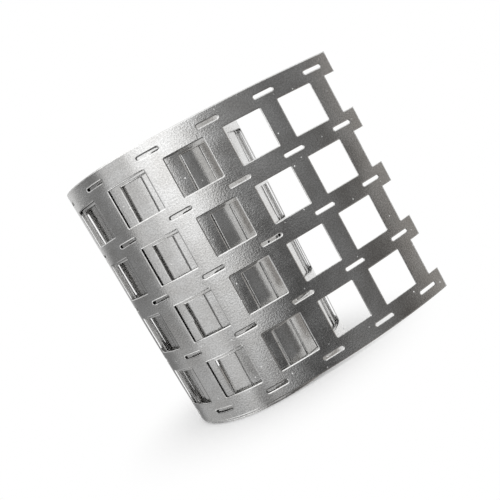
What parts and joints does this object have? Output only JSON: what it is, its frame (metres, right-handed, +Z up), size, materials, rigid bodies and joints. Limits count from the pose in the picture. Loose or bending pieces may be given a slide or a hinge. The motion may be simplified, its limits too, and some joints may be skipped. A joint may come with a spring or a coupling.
{
  "type": "nickel strip",
  "caption": "Perforated nickel strip for welding rows of round battery cells together, wound in a loose roll that stands on its edge with one end free.",
  "frame": {"origin": "on the roll's axis, level with the edge that the roll stands on", "axes": "+Z up along the roll's axis, +X the way the free end runs as it leaves the roll, -Y the front"},
  "size_m": [0.0953, 0.0594, 0.088],
  "materials": {
    "nickel": "satin rolled nickel sheet with a fine grain and bright stamped edges"
  },
  "bodies": {
    "root": {"nickel_strip": "nickel"}
  },
  "joints": []
}
